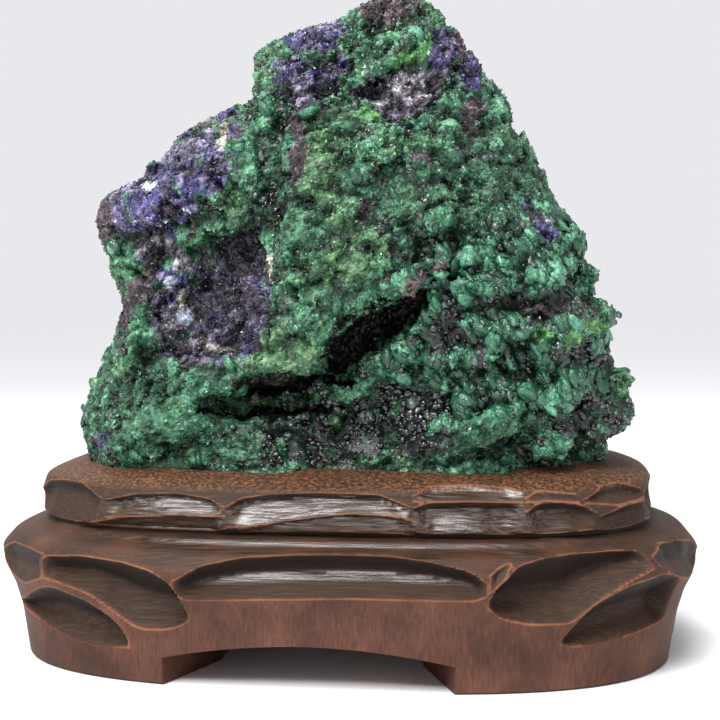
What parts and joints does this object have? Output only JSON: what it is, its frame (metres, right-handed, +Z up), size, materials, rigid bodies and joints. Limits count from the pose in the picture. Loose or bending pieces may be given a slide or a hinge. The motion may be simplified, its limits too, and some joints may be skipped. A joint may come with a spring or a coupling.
{
  "type": "malachite and azurite specimen on a carved wooden stand",
  "caption": "Rough green and blue mineral specimen, lumpy and pitted, standing in the socket of a carved dark wooden stand with low arched feet.",
  "frame": {"origin": "on the floor, at the middle of the stand", "axes": "+Z up, +X to the right along the stand's long side, the specimen's front faces -Y"},
  "size_m": [0.1356, 0.0916, 0.1275],
  "materials": {
    "malachite": "rough crystalline crust",
    "stained_wood": "dark stain, waxed, worn along the carved edges"
  },
  "bodies": {
    "root": {"malachite_specimen": "malachite", "wooden_stand": "stained_wood"}
  },
  "joints": []
}
